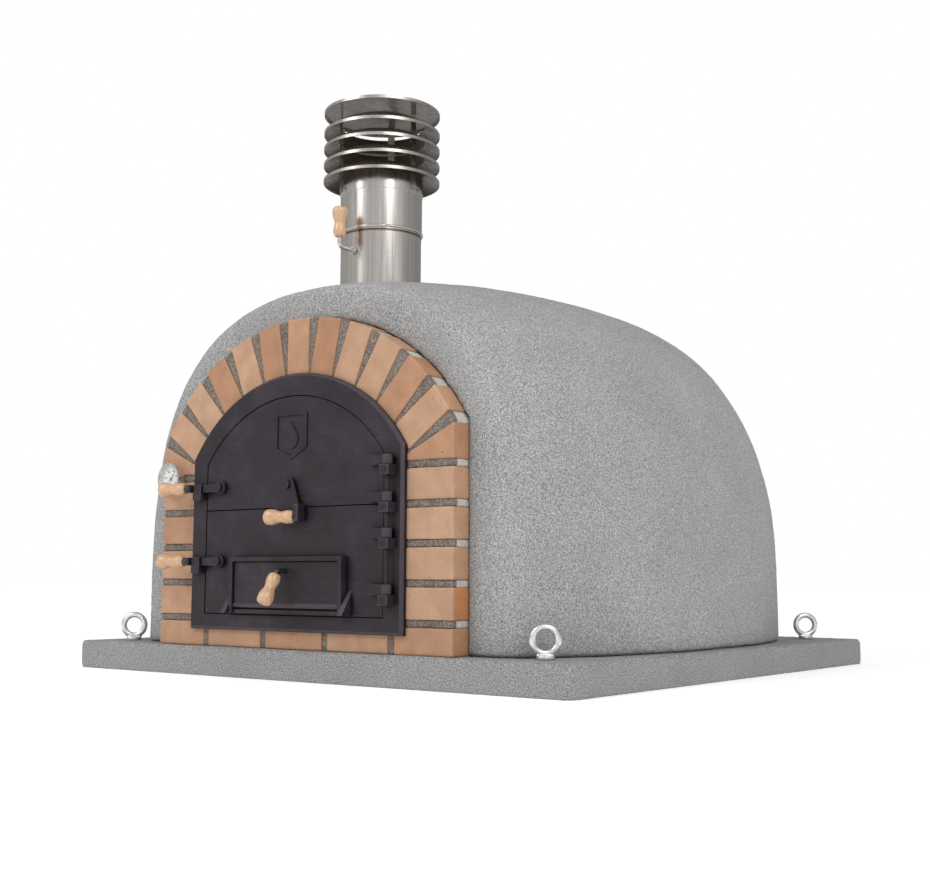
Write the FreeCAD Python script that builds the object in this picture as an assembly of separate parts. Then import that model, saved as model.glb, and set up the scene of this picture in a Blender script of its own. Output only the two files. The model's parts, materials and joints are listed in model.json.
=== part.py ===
import FreeCAD, Part
import math
import os

# Wood fired pizza oven on its own slab. Millimetres, +Z up, the front faces -Y.
# The origin is the centre of the slab's underside.

Vec = FreeCAD.Vector
UP = Vec(0, 0, 1)
BACK = Vec(0, 1, 0)

# base slab
slab_width = 1200.0
slab_depth = 1200.0
slab_thickness = 55.0
slab_edge_round = 7.0

# door leaves, measured about the centre of the door's arch
door_half_width = 222.0
door_arch_reach = 49.0          # arch radius beyond the half width
arch_centre_rise = 187.0        # arch centre above the slab's top
door_bottom_rise = 62.5         # underside of the lower leaf above the slab's top
door_seam_rise = 255.0          # joint between the leaves above the slab's top
leaf_thickness = 8.0
leaf_gap = 2.0                  # between a leaf and what surrounds it
leaf_recess = 1.0               # leaf face behind the frame's face

# cast door frame
flange_width = 41.0
flange_bottom_width = 28.5
flange_thickness = 12.0
flange_bevel = 5.0
sleeve_wall = 7.0
sleeve_depth = 108.0
sleeve_gap = 2.0                # sleeve to the brickwork
rebate_lip = 10.0               # how far the stop behind the leaves reaches in
rebate_thickness = 6.0
rebate_gap = 1.5                # leaf's back to the stop

# brickwork
brick_setback = 12.0            # brick face behind the slab's front edge
brick_depth = 110.0
brick_proud = 40.0              # brick face in front of the dome
brick_height = 54.7
brick_joint = 13.0
brick_round = 1.5
arch_brick_length = 109.0
arch_inner_joint = 3.5
arch_spring_angle = 30.6        # degrees above the horizontal
springer_base_rise = 140.5      # springer's underside above the arch centre
flange_overlap = 5.0            # frame flange over the bricks
jamb_brick_width = 104.0
jamb_courses = 4
sill_height = 46.5
sill_brick_length = 141.0
mortar_recess = 2.0
brickwork_gap = 0.5             # brickwork to the dome's layers

# dome, as a family of nested layers
dome_shoulder = 60.0            # dome front beyond the brick arch
dome_side_margin = 26.0         # slab left over beside the dome
dome_back_margin = 10.0
dome_rise = 57.0                # crown above the top of the dome's front
dome_side_blend = 400.0
dome_side_power = 1.9
dome_top_blend = 500.0
dome_top_power = 1.5
dome_rear_side_blend = 1000.0
dome_rear_side_power = 3.8
dome_rear_top_blend = 495.0
dome_rear_top_power = 2.26
section_width_power = 2.37
section_height_power = 3.5
section_points = 20
section_count = 21
rear_cap_depth = 2.0            # the last section stands this far from the very back
render_thickness = 12.0
blanket_thickness = 80.0
vault_thickness = 60.0
layer_gap = 0.5

# hearth
insulation_board_thickness = 30.0
tile_thickness = 30.0
tile_size = 280.0
tile_gap = 1.0
hearth_gap = 3.0

# throat behind the door
throat_wall = 40.0
throat_gap = 1.0

# flue
flue_radius = 80.0
flue_wall = 1.2
flue_setback = 229.0            # flue axis behind the brick face
flue_hole_gap = 0.6
flue_seat_above_vault = 20.0    # seat of the pipe above the vault's inner crown
flue_seat_width = 6.0
damper_rise = 40.0              # damper shaft above the dome's crown
pipe_joint_rise = 42.0          # lower edge of the upper pipe above the damper shaft
pipe_overlap = 28.0
pipe_fit = 0.2
bead_radius = 2.6
pipe_top_rise = 171.0           # top of the upper pipe above the damper shaft

# chimney cowl
cowl_overhang = 36.0            # rings beyond the flue's radius
cowl_ring_gap = 1.5             # rings' inner edge to the straps
cowl_first_rise = 154.0         # lowest ring above the damper shaft
cowl_pitch = 32.7
cowl_rings = 4
cowl_cap_gap = 41.0
cowl_rim_height = 6.0
cowl_sheet = 1.2
cowl_cone_rise = 18.0
cowl_cap_rise = 12.0
collar_height = 48.0
strap_width = 14.0
strap_sheet = 1.5
strap_turns = (-32.0, 88.0, 208.0)
strap_lap = 42.0                # strap on the pipe, below its top
clip_reach = 10.0
strap_gap = 0.2
rivet_radius = 2.6
rivet_height = 1.7
rivet_round = 1.2
rivet_rise = 8.0                # above the collar's lower edge
rivet_turn = 13.0               # from each strap to the next rivet on the collar
flue_seat_gap = 0.5

# damper
rod_radius = 4.0
bore_clearance = 0.06
damper_edge_gap = 2.0
damper_sheet = 1.5
damper_stand = 41.0             # handle's axis in front of the flue
damper_bend = 10.0
damper_handle_rise = 20.0
damper_tail = 12.0
damper_collar_radius = 8.0
damper_collar_width = 5.0
damper_collar_gap = 1.0
damper_screw_radius = 3.5
damper_screw_height = 2.0
damper_screw_spread = 60.0

# turned wooden handles
handle_length = 58.0
handle_tip_radius = 14.6
handle_waist_radius = 10.0
handle_neck_radius = 12.3
handle_end_radius = 9.5
handle_socket = 34.0
socket_end_gap = 1.0            # end of a tang to the bottom of its socket
ferrule_radius = 7.5
ferrule_length = 8.0

# hinges
hinge_offset = 19.0             # pin axis beyond the leaves' edge
hinge_stand = 12.0              # pin axis in front of the frame
hinge_pin_radius = 4.0
hinge_pin_overhang = 3.0
knuckle_radius = 9.0
lug_width = 21.0
lug_height = 17.0
lug_front = 11.0
lug_round = 2.0
knuckle_gap = 0.8
strap_reach = 24.0
strap_thickness = 10.0
hinge_standoff = 1.5
upper_hinges = (66.0, 2.5)      # knuckle bases above the seam
lower_hinges = (-59.0, -154.0)

# latches
latch_pivot_inset = 42.0        # pivot from the leaves' free edge
latch_rises = (42.5, -96.0)     # pivots from the seam
latch_bar_height = 15.0
latch_bar_thickness = 6.0
latch_bar_length = 75.5
latch_boss_radius = 12.0
washer_thickness = 4.5
bolt_radius = 4.0
bolt_head_radius = 8.0
bolt_head_height = 5.0
catch_width = 22.0
catch_inset = 2.0               # catch beyond the leaves' opening
catch_lip = 4.5
catch_gap = 0.6
catch_floor = 14.0
catch_rise = 8.0                # lip above the middle of the bar
handle_tilt = 15.0
latch_block_width = 6.5
handle_stand = 7.0              # handle axis in front of the bar's middle
handle_seat_gap = 2.2           # tilted ferrule clear of what it stands on

# plate that ties the two leaves together
tie_rise = 41.0
tie_top_radius = 13.0
tie_bottom_half = 30.0
tie_drop = 50.0
tie_corner = 7.0
tie_arm_x = 29.0                # face that the handle stands on
tie_arm_width = 11.0
tie_arm_drop = 67.0
tie_arm_front = 14.0            # arm in front of the plate
tie_arm_round = 3.0
tie_handle_drop = 59.0

# draught flap
flap_half_width = 131.0
flap_height = 78.0              # above the hinge rod
flap_rod_rise = 16.5            # hinge rod above the lower leaf's bottom edge
flap_rod_stand = 9.0            # hinge rod in front of the leaf
flap_thickness = 5.0
flap_gap = 1.5
rim_wall = 8.0
rim_depth = 16.0
rim_bottom_rise = 1.5
rail_height = 7.0
rail_depth = 11.0
foot_width = 12.0
foot_height = 42.0
foot_depth = 26.0
flap_rod_radius = 3.0
flap_knuckle_radius = 5.0
draught_half_width = 112.0
draught_height = 52.0
draught_rise = 22.0
flap_handle_rise = 62.0
flap_handle_tilt = 29.5
flap_handle_stand = 19.0
flap_handle_neck = 8.0
flap_stub_radius = 5.0
flap_stub_bend = 6.0

# cast badge on the upper leaf
badge_half_width = 39.0
badge_height = 84.0
badge_rise = 88.0
badge_relief = 2.2
badge_line = 4.0
badge_point = 1.4                # rim at the shield's point, in rim widths
badge_flame = [(0.0, 1.25), (0.42, 0.55), (0.78, -0.15), (0.55, -0.85), (0.0, -1.1),
               (-0.55, -0.85), (-0.72, -0.2), (-0.38, 0.1), (-0.2, 0.6)]

# thermometer
gauge_x = -330.0
gauge_radius = 29.0
gauge_depth = 15.0
gauge_wall = 1.5
bezel_radius = 31.0
bezel_lip = 4.5
bezel_lip_depth = 1.5
bezel_depth = 4.0
dial_thickness = 1.0
dial_depth = 4.5                # dial behind the case's front edge
needle_length = 20.0
needle_tail = 7.0
needle_width = 2.4
needle_thickness = 0.8
needle_rest_angle = 40.0        # degrees clockwise from straight up
hub_radius = 3.0
spindle_radius = 1.0
spindle_reach = 3.0             # spindle in front of the dial
needle_stand = 1.4
glass_thickness = 1.4
glass_gap = 0.1
stem_radius = 4.0
stem_length = 260.0
stem_hole_gap = 0.3

overcut = 6.0                   # how far a cutting block runs past a face

# lifting eyes, M12
eye_side_inset = 90.0
eye_front_inset = 66.0
eye_back_inset = 100.0
eye_ring_radius = 21.0
eye_wire_radius = 6.0
eye_bore_radius = 15.5
eye_collar_radius = 15.0
eye_collar_height = 7.0
eye_shank_radius = 6.0
eye_shank_length = 32.0
eye_hole_gap = 0.1
eye_turn = 40.0

# planes and heights that follow from the sizes above
slab_top = slab_thickness
door_arch_radius = door_half_width + door_arch_reach
brick_face = brick_setback - slab_depth / 2
frame_face = brick_face - flange_thickness
leaf_face = frame_face + leaf_recess
leaf_back = leaf_face + leaf_thickness
dome_front = brick_face + brick_proud
dome_back = slab_depth / 2 - dome_back_margin
arch_centre = slab_top + arch_centre_rise
door_bottom = slab_top + door_bottom_rise
door_seam = slab_top + door_seam_rise
opening_half = door_half_width + leaf_gap
opening_radius = door_arch_radius + leaf_gap
opening_bottom = door_bottom - leaf_gap
flange_half = opening_half + flange_width
flange_radius = opening_radius + flange_width
flange_bottom = opening_bottom - flange_bottom_width
jamb_inner = flange_half - flange_overlap
jamb_outer = jamb_inner + jamb_brick_width
arch_inner = flange_radius - flange_overlap
arch_outer = arch_inner + arch_brick_length
sill_top = slab_top + sill_height
hearth_top = slab_top + insulation_board_thickness + tile_thickness
throat_half = door_half_width - rebate_lip + leaf_gap
throat_radius = door_arch_radius - rebate_lip + leaf_gap
dome_half = slab_width / 2 - dome_side_margin
front_half = jamb_outer + dome_shoulder
front_height = arch_centre + arch_outer - slab_top + dome_shoulder
dome_height = front_height + dome_rise
vault_outset = render_thickness + blanket_thickness + 2 * layer_gap
cavity_inset = vault_outset + vault_thickness
flue_y = brick_face + flue_setback
damper_z = slab_top + dome_height + damper_rise
hinge_x = door_half_width + hinge_offset
hinge_y = frame_face - hinge_stand
gauge_z = arch_centre + springer_base_rise - brick_joint / 2
bar_front = leaf_face - washer_thickness - latch_bar_thickness
bar_back = bar_front + latch_bar_thickness
cowl_low = damper_z + cowl_first_rise
cowl_cap_z = cowl_low + (cowl_rings - 1) * cowl_pitch + cowl_cap_gap
pipe_top = damper_z + pipe_top_rise
upper_pipe_radius = flue_radius + pipe_fit + flue_wall
collar_radius = upper_pipe_radius + pipe_fit + cowl_sheet
strap_inner = collar_radius + strap_gap
strap_outer = strap_inner + strap_sheet
cowl_radius = flue_radius + cowl_overhang
cowl_inner_radius = strap_outer + cowl_ring_gap
damper_reach = flue_radius + damper_stand
flap_rod_z = door_bottom + flap_rod_rise
flap_rod_y = leaf_face - flap_rod_stand
flap_face = flap_rod_y - flap_thickness / 2


def save(name, shape):
    shape.exportStep("parts/" + name + ".step")


def group(shapes):
    return Part.makeCompound(list(shapes))


def box(x0, x1, y0, y1, z0, z1):
    return Part.makeBox(x1 - x0, y1 - y0, z1 - z0, Vec(x0, y0, z0))


def rod(radius, start, end):
    axis = end.sub(start)
    return Part.makeCylinder(radius, axis.Length, start, axis)


def tube(outer, inner, x, y, z0, z1):
    ring = Part.makeCylinder(outer, z1 - z0, Vec(x, y, z0))
    return ring.cut(Part.makeCylinder(inner, z1 - z0, Vec(x, y, z0)))


# Polygon of (x, z) points, extruded from y0 to y1.
def prism(points, y0, y1):
    ring = [Vec(x, y0, z) for x, z in points]
    face = Part.Face(Part.makePolygon(ring + ring[:1]))
    return face.extrude(Vec(0, y1 - y0, 0))


# Polygon of (y, z) points, extruded from x0 to x1.
def side_prism(points, x0, x1):
    ring = [Vec(x0, y, z) for y, z in points]
    face = Part.Face(Part.makePolygon(ring + ring[:1]))
    return face.extrude(Vec(x1 - x0, 0, 0))


# Straight jambs under a segment of a circle about the arch centre.
def arch_prism(half, radius, bottom, y0, y1):
    spring = arch_centre + math.sqrt(radius ** 2 - half ** 2)
    corners = [Vec(-half, y0, spring), Vec(-half, y0, bottom), Vec(half, y0, bottom), Vec(half, y0, spring)]
    crown = Vec(0, y0, arch_centre + radius)
    edges = [Part.makeLine(corners[i], corners[i + 1]) for i in range(3)]
    edges.append(Part.Arc(corners[3], crown, corners[0]).toShape())
    return Part.Face(Part.Wire(edges)).extrude(Vec(0, y1 - y0, 0))


# Closed (radius, z) outline turned about the vertical axis at x, y.
def revolve_profile(points, x, y):
    ring = [Vec(x + radius, y, z) for radius, z in points]
    face = Part.Face(Part.makePolygon(ring + ring[:1]))
    return face.revolve(Vec(x, y, 0), UP, 360)


# Round bar through a corner, with an arc of the given bend radius.
def bent_rod(radius, start, corner, end, bend):
    inward = corner.sub(start).normalize()
    outward = end.sub(corner).normalize()
    turn = inward.getAngle(outward)
    trim = bend * math.tan(turn / 2)
    first = corner.sub(inward * trim)
    last = corner.add(outward * trim)
    bisector = outward.sub(inward).normalize()
    middle = corner.add(bisector * (bend / math.cos(turn / 2) - bend))
    edges = [Part.makeLine(start, first), Part.Arc(first, middle, last).toShape(), Part.makeLine(last, end)]
    path = Part.Wire(edges)
    section = Part.Wire(Part.makeCircle(radius, start, inward))
    return path.makePipeShell([section], True, False)


# ---- base ----

def eye_places():
    right = slab_width / 2 - eye_side_inset
    front = eye_front_inset - slab_depth / 2
    back = slab_depth / 2 - eye_back_inset
    return [(right, front), (-right, front), (right, back), (-right, back)]


def base_slab():
    slab = box(-slab_width / 2, slab_width / 2, -slab_depth / 2, slab_depth / 2, 0, slab_top)
    edges = [edge for edge in slab.Edges if edge.BoundBox.ZMax > slab_top / 2]
    slab = slab.makeFillet(slab_edge_round, edges)
    drop = eye_shank_length + eye_hole_gap
    radius = eye_shank_radius + eye_hole_gap
    holes = [Part.makeCylinder(radius, drop + overcut, Vec(x, y, slab_top - drop)) for x, y in eye_places()]
    return slab.cut(holes)


def lifting_eye(x, y):
    collar = Part.makeCylinder(eye_collar_radius, eye_collar_height, Vec(x, y, slab_top))
    shank = Part.makeCylinder(eye_shank_radius, eye_shank_length, Vec(x, y, slab_top - eye_shank_length))
    centre = Vec(x, y, slab_top + eye_collar_height + eye_ring_radius + eye_wire_radius / 2)
    ring = Part.makeTorus(eye_ring_radius, eye_wire_radius, centre, BACK)
    eye = collar.fuse([shank, ring])
    reach = Vec(0, eye_collar_radius, 0)
    eye = eye.cut(rod(eye_bore_radius, centre.sub(reach), centre.add(reach)))
    eye.rotate(centre, UP, eye_turn)
    return eye.removeSplitter()


def lifting_eyes():
    return group(lifting_eye(x, y) for x, y in eye_places())


# ---- dome layers ----

# Superelliptic quarter from 0 to 1: steep at the start, level at the end.
def eased(share, power):
    share = min(max(share, 0.0), 1.0)
    return (1 - (1 - share) ** power) ** (1 / power)


# Half width and height of the layer that lies inset millimetres inside the dome.
def layer_size(y, inset):
    front = y - dome_front - inset
    rear = dome_back - inset - y
    half = front_half - inset + (dome_half - front_half) * eased(front / dome_side_blend, dome_side_power)
    half *= eased(rear / dome_rear_side_blend, dome_rear_side_power)
    height = front_height - inset + dome_rise * eased(front / dome_top_blend, dome_top_power)
    height *= eased(rear / dome_rear_top_blend, dome_rear_top_power)
    return half, height


def layer_section(y, inset):
    half, height = layer_size(y, inset)
    points = []
    for step in range(section_points + 1):
        angle = math.pi * step / section_points
        across = math.copysign(abs(math.cos(angle)) ** (2 / section_width_power), math.cos(angle))
        up = abs(math.sin(angle)) ** (2 / section_height_power)
        points.append(Vec(half * across, y, slab_top + height * up))
    curve = Part.BSplineCurve()
    curve.interpolate(points)
    return Part.Wire([curve.toShape(), Part.makeLine(points[-1], points[0])])


def layer_stations(inset):
    front = dome_front + inset
    length = dome_back - inset - front
    stations = []
    for step in range(section_count - 1):
        share = (1 - math.cos(math.pi * step / (section_count - 1))) / 2
        stations.append(front + length * share)
    return stations + [front + length - rear_cap_depth]


def layer(inset):
    return Part.makeLoft([layer_section(y, inset) for y in layer_stations(inset)], True, False)


# Room that the brickwork takes out of the dome's layers.
def brickwork_block():
    corner = math.hypot(arch_outer, brick_height / 2) + brickwork_gap
    back = brick_face + brick_depth + brickwork_gap
    return arch_prism(jamb_outer + brickwork_gap, corner, slab_top - overcut, brick_face, back)


def throat_block():
    half = throat_half + throat_wall + throat_gap
    radius = throat_radius + throat_wall + throat_gap
    return arch_prism(half, radius, slab_top - overcut, brick_face, dome_front + cavity_inset + throat_wall)


def flue_block():
    hole = flue_radius + flue_hole_gap
    seat = flue_seat_z()
    wide = Part.makeCylinder(hole, slab_top + dome_height + damper_rise - seat, Vec(0, flue_y, seat))
    narrow_radius = flue_radius - flue_seat_width
    narrow = Part.makeCylinder(narrow_radius, seat - arch_centre + 1, Vec(0, flue_y, arch_centre))
    return wide.fuse(narrow)


def flue_seat_z():
    return slab_top + layer_size(flue_y, cavity_inset)[1] + flue_seat_above_vault


def stem_block():
    start = Vec(gauge_x, brick_face - 1, gauge_z)
    return rod(stem_radius + stem_hole_gap, start, start.add(Vec(0, stem_length + 2, 0)))


def dome_shell():
    shell = layer(0).cut(layer(render_thickness))
    return shell.cut([brickwork_block(), throat_block(), flue_block()])


def insulation_blanket():
    blanket = layer(render_thickness + layer_gap).cut(layer(vault_outset - layer_gap))
    return blanket.cut([brickwork_block(), throat_block(), flue_block(), stem_block()])


def vault():
    wall = layer(vault_outset).cut(layer(cavity_inset))
    return wall.cut([throat_block(), flue_block(), stem_block()])


def throat_arch():
    front = brick_face + brick_depth + brickwork_gap
    back = dome_front + cavity_inset
    outer = arch_prism(throat_half + throat_wall, throat_radius + throat_wall, slab_top, front, back)
    inner = arch_prism(throat_half, throat_radius, slab_top, front, back)
    return outer.cut(inner).cut(flue_block())


# ---- hearth ----

# Everything inside the vault and the throat, less the working gap.
def hearth_outline(z0, z1):
    inset = cavity_inset + hearth_gap
    room = layer(inset).common(box(-dome_half, dome_half, -slab_depth / 2, slab_depth / 2, z0, z1))
    mouth_half = throat_half - hearth_gap
    front = brick_face + brick_depth + hearth_gap
    mouth = box(-mouth_half, mouth_half, front, dome_front + inset + throat_wall, z0, z1)
    return room.fuse(mouth).removeSplitter()


def hearth_insulation():
    return hearth_outline(slab_top, slab_top + insulation_board_thickness)


def hearth_tiles():
    z0 = slab_top + insulation_board_thickness
    floor = hearth_outline(z0, hearth_top)
    bounds = floor.BoundBox
    across = max(1, math.ceil(bounds.XLength / tile_size / 2) * 2 - 1)
    along = max(1, math.ceil(bounds.YLength / tile_size))
    width = bounds.XLength / across
    length = bounds.YLength / along
    tiles = []
    for column in range(across):
        for row in range(along):
            x = bounds.XMin + column * width
            y = bounds.YMin + row * length
            cell = box(x + tile_gap / 2, x + width - tile_gap / 2, y + tile_gap / 2, y + length - tile_gap / 2,
                       z0, hearth_top)
            tiles += floor.common(cell).Solids
    return group(tiles)


# ---- brickwork ----

def rounded_brick(shape):
    edges = [edge for edge in shape.Edges if all(abs(v.Y - brick_face) < 0.01 for v in edge.Vertexes)]
    return shape.makeFillet(brick_round, edges)


# Angles from the vertical of the full bricks on one side, and of the springer.
def arch_angles():
    span = 90 - arch_spring_angle
    natural = math.degrees((brick_height + arch_inner_joint) / arch_inner)
    count = max(1, round(span / natural - 0.5))
    pitch = span / (count + 0.5)
    return [pitch * step for step in range(count + 1)], pitch * (count + 1)


def arch_brick(lean):
    half = brick_height / 2
    brick = box(-half, half, brick_face, brick_face + brick_depth, arch_centre + arch_inner, arch_centre + arch_outer)
    brick = rounded_brick(brick)
    brick.rotate(Vec(0, 0, arch_centre), BACK, lean)
    return brick


# Lowest arch brick, cut to stand level on the jamb.
def springer(side):
    rise = math.radians(90 - arch_angles()[1])
    edge = arch_centre + brick_height / 2 / math.cos(rise)
    low = arch_centre + springer_base_rise
    inner_top = edge + jamb_inner * math.tan(rise)
    outer_top = edge + jamb_outer * math.tan(rise)
    points = [(side * jamb_inner, low), (side * jamb_outer, low),
              (side * jamb_outer, outer_top), (side * jamb_inner, inner_top)]
    return rounded_brick(prism(points, brick_face, brick_face + brick_depth))


def arch_bricks():
    leans = arch_angles()[0]
    bricks = [arch_brick(lean) for lean in leans] + [arch_brick(-lean) for lean in leans[1:]]
    return group(bricks + [springer(1), springer(-1)])


def jamb_bricks():
    height = arch_centre + springer_base_rise - sill_top
    course = (height - brick_joint) / jamb_courses
    bricks = []
    for side in (-1, 1):
        x0, x1 = sorted((side * jamb_inner, side * jamb_outer))
        for step in range(jamb_courses):
            z0 = sill_top + brick_joint + step * course
            brick = box(x0, x1, brick_face, brick_face + brick_depth, z0, z0 + course - brick_joint)
            bricks.append(rounded_brick(brick))
    return group(bricks)


def sill_bricks():
    pitch = sill_brick_length + brick_joint
    edge = 1.5 * pitch
    spans = [(step * pitch - sill_brick_length / 2, step * pitch + sill_brick_length / 2) for step in (-1, 0, 1)]
    spans += [(-jamb_outer, -edge - brick_joint / 2), (edge + brick_joint / 2, jamb_outer)]
    bricks = [box(x0, x1, brick_face, brick_face + brick_depth, slab_top, sill_top) for x0, x1 in spans]
    return group(rounded_brick(brick) for brick in bricks)


def mortar(bricks):
    back = brick_face + brick_depth - mortar_recess
    front = brick_face + mortar_recess
    outer = arch_prism(jamb_outer - mortar_recess, arch_outer - mortar_recess, slab_top, front, back)
    inner = arch_prism(jamb_inner + mortar_recess, arch_inner + mortar_recess, sill_top - mortar_recess, front, back)
    bed = outer.cut(inner)
    return group(bed.cut(bricks + [stem_block()]).Solids)


# ---- door frame ----

# Square lug on the frame, under the knuckle whose base is at z0.
def hinge_lug(z0):
    top = z0 - knuckle_gap
    half = lug_width / 2
    lug = box(hinge_x - half, hinge_x + half, hinge_y - lug_front, frame_face, top - lug_height, top)
    edges = [edge for edge in lug.Edges if all(abs(v.Y - hinge_y + lug_front) < 0.01 for v in edge.Vertexes)]
    lug = lug.makeFillet(lug_round, edges)
    hole = Part.makeCylinder(hinge_pin_radius + bore_clearance, lug_height, Vec(hinge_x, hinge_y, top - lug_height))
    return lug.cut(hole)


def door_frame():
    back = frame_face + flange_thickness
    flange = arch_prism(flange_half, flange_radius, flange_bottom, frame_face, back)
    edges = [edge for edge in flange.Edges if all(abs(v.Y - frame_face) < 0.01 for v in edge.Vertexes)]
    flange = flange.makeChamfer(flange_bevel, edges)
    flange = flange.cut(arch_prism(opening_half, opening_radius, opening_bottom, frame_face, back))
    sleeve_half = jamb_inner - sleeve_gap
    sleeve_radius = arch_inner - sleeve_gap
    sleeve_bottom = sill_top + sleeve_gap
    sleeve = arch_prism(sleeve_half, sleeve_radius, sleeve_bottom, back, back + sleeve_depth)
    hollow = arch_prism(sleeve_half - sleeve_wall, sleeve_radius - sleeve_wall, sleeve_bottom + sleeve_wall,
                        back, back + sleeve_depth)
    sleeve = sleeve.cut(hollow)
    lip_front = leaf_back + rebate_gap
    lip_back = lip_front + rebate_thickness
    lip = arch_prism(sleeve_half, sleeve_radius, sleeve_bottom, lip_front, lip_back)
    lip = lip.cut(arch_prism(throat_half, throat_radius, opening_bottom + rebate_lip, lip_front, lip_back))
    lugs = [hinge_lug(door_seam + rise) for rise in upper_hinges + lower_hinges]
    return flange.fuse([sleeve, lip] + lugs).removeSplitter()


def hinge_pin():
    top = door_seam + upper_hinges[0] + lug_height + hinge_pin_overhang
    bottom = door_seam + lower_hinges[-1] - knuckle_gap - lug_height - hinge_pin_overhang
    return rod(hinge_pin_radius, Vec(hinge_x, hinge_y, bottom), Vec(hinge_x, hinge_y, top))


def latch_pivots():
    x = latch_pivot_inset - door_half_width
    return [(x, door_seam + rise) for rise in latch_rises]


# Open-topped hook that the latch bar drops into.
def latch_catch(z):
    x1 = -opening_half - catch_inset
    x0 = x1 - catch_width
    lip_front = bar_front - catch_gap - catch_lip
    floor_z = z - latch_bar_height / 2 - catch_gap
    floor = box(x0, x1, lip_front, frame_face, floor_z - catch_floor, floor_z)
    lip = box(x0, x1, lip_front, lip_front + catch_lip, floor_z, z + catch_rise)
    return floor.fuse(lip).removeSplitter()


def latch_catches():
    return group(latch_catch(z) for x, z in latch_pivots())


# ---- leaves ----

def hinge_knuckle(z0):
    knuckle = Part.makeCylinder(knuckle_radius, lug_height, Vec(hinge_x, hinge_y, z0))
    left = door_half_width - strap_reach
    back = frame_face - hinge_standoff
    strap = box(left, hinge_x, back - strap_thickness, back, z0, z0 + lug_height)
    pad = box(left, door_half_width - leaf_gap, back, leaf_face, z0, z0 + lug_height)
    hole = Part.makeCylinder(hinge_pin_radius + bore_clearance, lug_height, Vec(hinge_x, hinge_y, z0))
    return knuckle.fuse([strap, pad]).cut(hole)


def leaf(bottom, top, hinges, bolts):
    plate = arch_prism(door_half_width, door_arch_radius, door_bottom, leaf_face, leaf_back)
    plate = plate.common(box(-door_half_width, door_half_width, leaf_face, leaf_back, bottom, top))
    plate = plate.fuse([hinge_knuckle(door_seam + rise) for rise in hinges])
    for x, z in bolts:
        plate = plate.cut(rod(bolt_radius + bore_clearance, Vec(x, leaf_face, z), Vec(x, leaf_back, z)))
    return plate.removeSplitter()


# Plain shield with a flame, cast on the upper leaf.
def badge():
    low = door_seam + badge_rise
    top = low + badge_height
    shoulder = low + badge_height / 4
    front = leaf_face - badge_relief

    def shield(margin):
        half = badge_half_width - margin
        points = [(-half, top - margin), (-half, shoulder), (0, low + margin * badge_point),
                  (half, shoulder), (half, top - margin)]
        return prism(points, front, leaf_face)

    middle = low + badge_height / 2
    flame = Part.BSplineCurve()
    size = badge_height / 4
    flame.interpolate([Vec(size * x, front, middle + size * z) for x, z in badge_flame], PeriodicFlag=True)
    relief = Part.Face(Part.Wire(flame.toShape())).extrude(Vec(0, leaf_face - front, 0))
    return shield(0).cut(shield(badge_line)).fuse(relief)


def upper_door():
    bolts = [latch_pivots()[0], (0, door_seam + tie_rise)]
    top = arch_centre + door_arch_radius
    return leaf(door_seam + leaf_gap / 2, top, upper_hinges, bolts).fuse(badge()).removeSplitter()


def draught_window():
    low = door_bottom + draught_rise
    return box(-draught_half_width, draught_half_width, leaf_face, leaf_back, low, low + draught_height)


def lower_door():
    return leaf(door_bottom, door_seam - leaf_gap / 2, lower_hinges, latch_pivots()[1:]).cut(draught_window())


# Round-headed bolt through a leaf, with its spacer washer.
def pivot_bolt(x, z):
    front = bar_front - catch_gap / 2
    shank = rod(bolt_radius, Vec(x, front, z), Vec(x, leaf_back, z))
    head = rod(bolt_head_radius, Vec(x, front - bolt_head_height, z), Vec(x, front, z))
    head = head.makeFillet(bolt_head_height / 2, [head.Edges[0]])
    washer = rod(bolt_head_radius, Vec(x, leaf_face - washer_thickness + catch_gap / 2, z), Vec(x, leaf_face, z))
    return shank.fuse([head, washer]).removeSplitter()


# ---- wooden handles ----

# Turned handle on its tang: base is the ferrule end, direction runs to the tip.
def turned_handle(base, direction, tang_radius=rod_radius):
    stations = [(0.0, handle_end_radius), (0.07, handle_neck_radius - 1), (0.19, handle_neck_radius),
                (0.34, handle_waist_radius + 1), (0.46, handle_waist_radius), (0.62, handle_tip_radius - 2),
                (0.79, handle_tip_radius), (0.9, handle_tip_radius - 0.4), (0.97, handle_tip_radius - 2.2),
                (1.0, handle_end_radius)]
    profile = Part.BSplineCurve()
    profile.interpolate([Vec(radius, 0, share * handle_length) for share, radius in stations])
    first = Vec(handle_end_radius, 0, 0)
    last = Vec(handle_end_radius, 0, handle_length)
    edges = [profile.toShape(), Part.makeLine(last, Vec(0, 0, handle_length)),
             Part.makeLine(Vec(0, 0, handle_length), Vec(0, 0, 0)), Part.makeLine(Vec(0, 0, 0), first)]
    handle = Part.Face(Part.Wire(edges)).revolve(Vec(0, 0, 0), UP, 360)
    handle = handle.cut(Part.makeCylinder(tang_radius + bore_clearance, handle_socket))
    return laid_along(handle, base, direction)


def laid_along(shape, base, direction):
    shape.Placement = FreeCAD.Placement(base, FreeCAD.Rotation(UP, direction))
    return shape


def ferrule(base, direction):
    piece = Part.makeCylinder(ferrule_radius, ferrule_length)
    piece = piece.cut(Part.makeCylinder(rod_radius + bore_clearance, ferrule_length))
    return laid_along(piece, base, direction)


# Handles that point left and lean out from the door.
def side_direction():
    tilt = math.radians(handle_tilt)
    return Vec(-math.cos(tilt), -math.sin(tilt), 0)


# ---- latches ----

# Where a handle's tang leaves the piece that carries it.
def latch_seat(x, z):
    return Vec(x - latch_bar_length, bar_front + latch_bar_thickness / 2 - handle_stand, z)


def tie_seat():
    z = door_seam + tie_rise - tie_handle_drop
    return Vec(tie_arm_x, bar_front - tie_arm_front / 2, z)


# Round tang that runs from its seat into the handle.
def tang(seat, direction, reach):
    return rod(rod_radius, seat.sub(direction * rod_radius), seat.add(direction * reach))


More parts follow.
